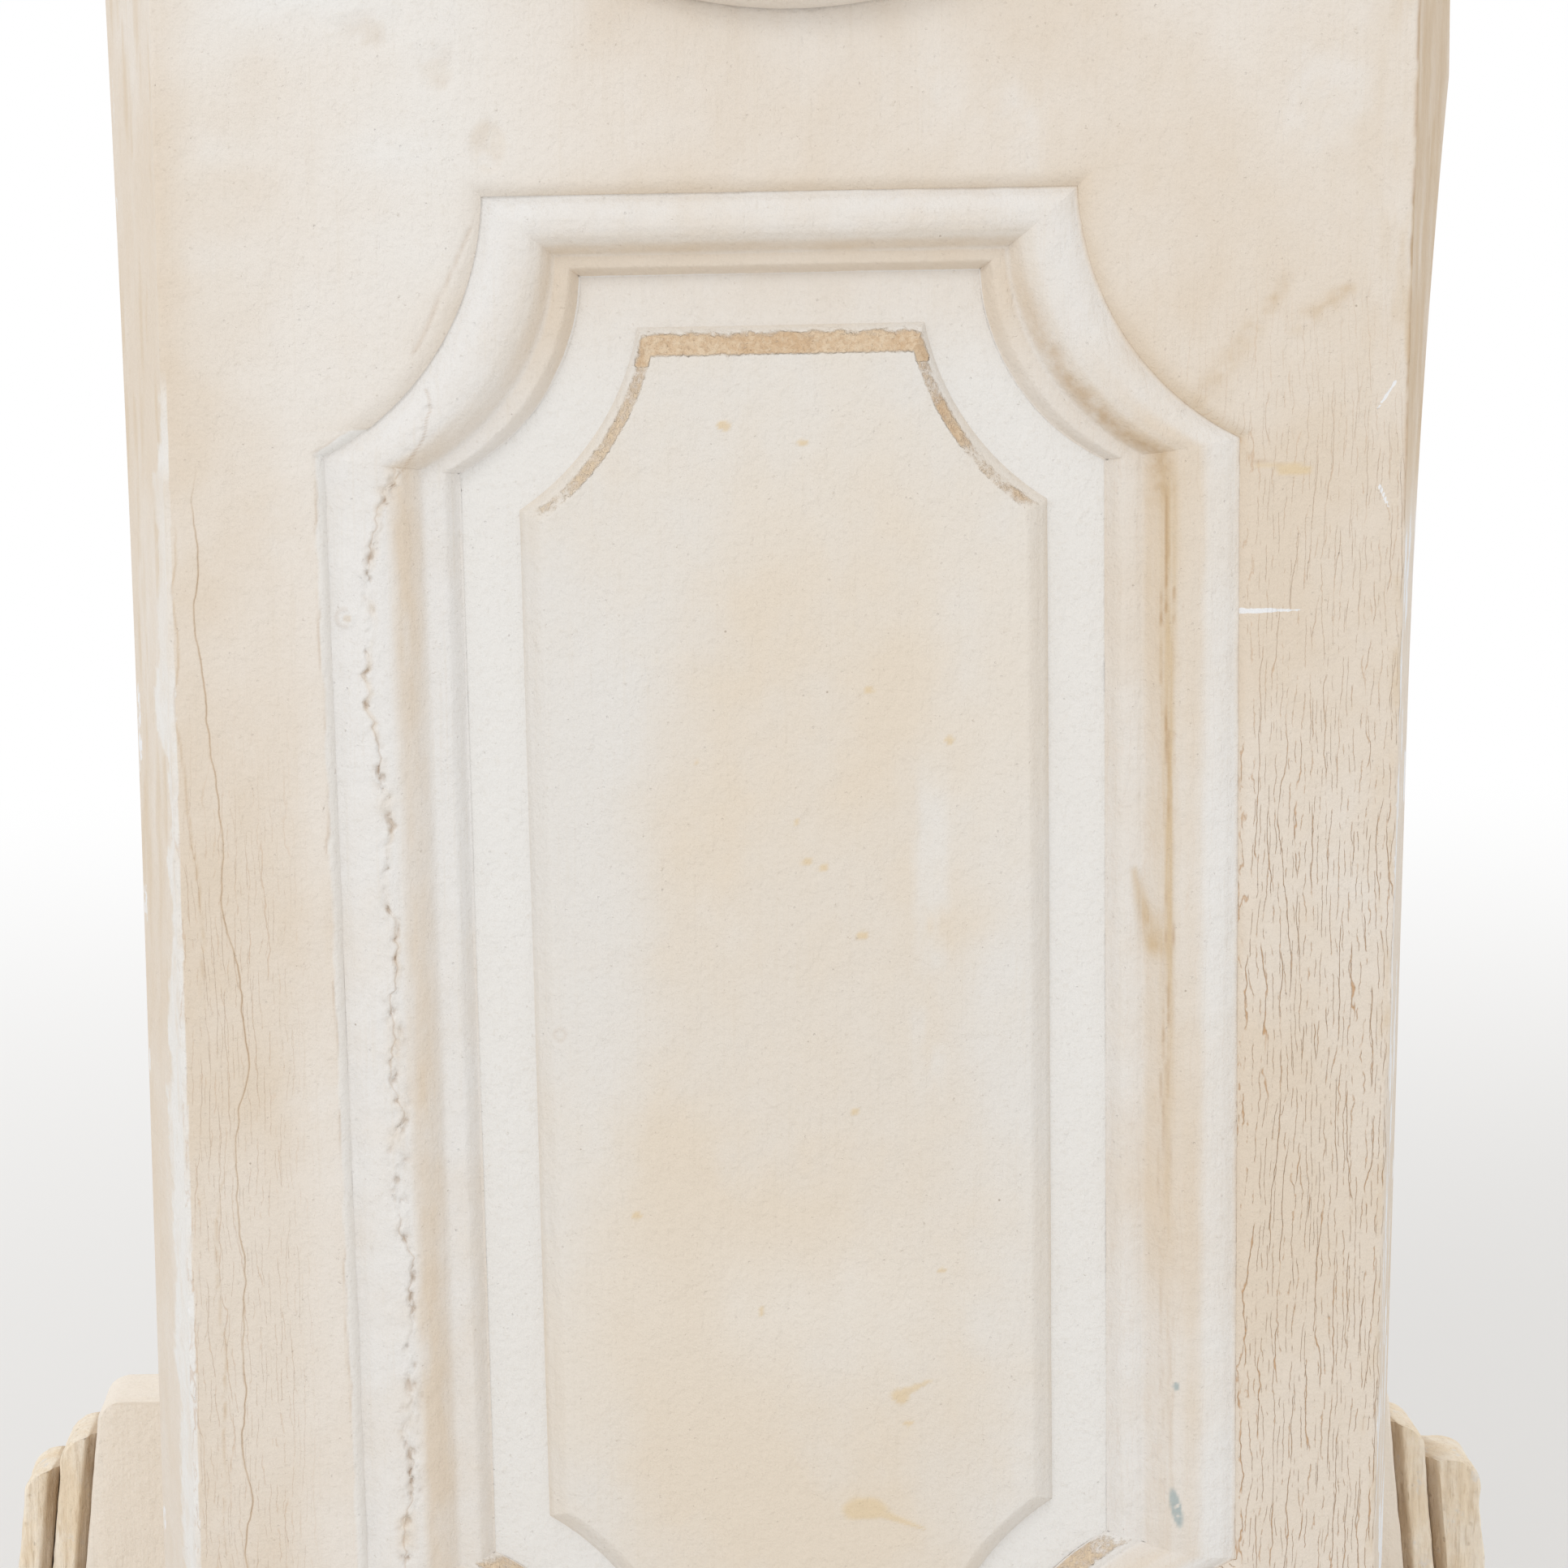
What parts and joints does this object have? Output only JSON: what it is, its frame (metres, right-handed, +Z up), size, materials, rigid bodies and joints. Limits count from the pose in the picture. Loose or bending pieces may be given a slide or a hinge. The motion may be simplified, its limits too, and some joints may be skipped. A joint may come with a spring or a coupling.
{
  "type": "plaster pedestal mould",
  "caption": "Fibrous-plaster master mould of a console pedestal: splayed face with a sunk scoop-cornered panel, oval boss, moulded cap and plinth, stepped rear flanges, open timber-framed back.",
  "frame": {"origin": "centre of the footprint, on the surface it stands on", "axes": "+Z up, the moulded face looks along -Y, +X to the right of someone who faces it"},
  "size_m": [0.3985, 0.252, 0.69],
  "materials": {
    "painted_plaster": "matte",
    "raw_plaster": "matte",
    "jute": "matte",
    "timber": "matte",
    "steel": "satin"
  },
  "bodies": {
    "root": {"back_rail_bottom": "timber", "back_rail_middle": "timber", "back_rail_top": "timber", "back_stile_left": "timber", "back_stile_right": "timber", "boss": "painted_plaster", "cap_astragal": "painted_plaster", "cap_cove": "painted_plaster", "cap_slab": "painted_plaster", "cheek_left": "painted_plaster", "cheek_right": "painted_plaster", "flange_block_left": "painted_plaster", "flange_block_right": "painted_plaster", "flange_rib_inner_left": "raw_plaster", "flange_rib_inner_right": "raw_plaster", "flange_rib_outer_left": "raw_plaster", "flange_rib_outer_right": "raw_plaster", "frame_bottom": "painted_plaster", "frame_left": "painted_plaster", "frame_right": "painted_plaster", "frame_scoop_bottom_left": "painted_plaster", "frame_scoop_bottom_right": "painted_plaster", "frame_scoop_top_left": "painted_plaster", "frame_scoop_top_right": "painted_plaster", "frame_top": "painted_plaster", "front_casting": "painted_plaster", "inner_panel": "painted_plaster", "jute_wad_left_1": "jute", "jute_wad_left_2": "jute", "jute_wad_left_3": "jute", "jute_wad_left_4": "jute", "jute_wad_right_1": "jute", "jute_wad_right_2": "jute", "jute_wad_right_3": "jute", "jute_wad_right_4": "jute", "lath_left": "timber", "lath_lower": "timber", "lath_right": "timber", "lath_upper": "timber", "plinth_block": "painted_plaster", "plinth_moulding": "painted_plaster", "rail_screw_1": "steel", "rail_screw_2": "steel", "rail_screw_3": "steel", "rail_screw_4": "steel", "rail_screw_5": "steel", "rail_screw_6": "steel", "scrim_lining": "jute"}
  },
  "joints": []
}
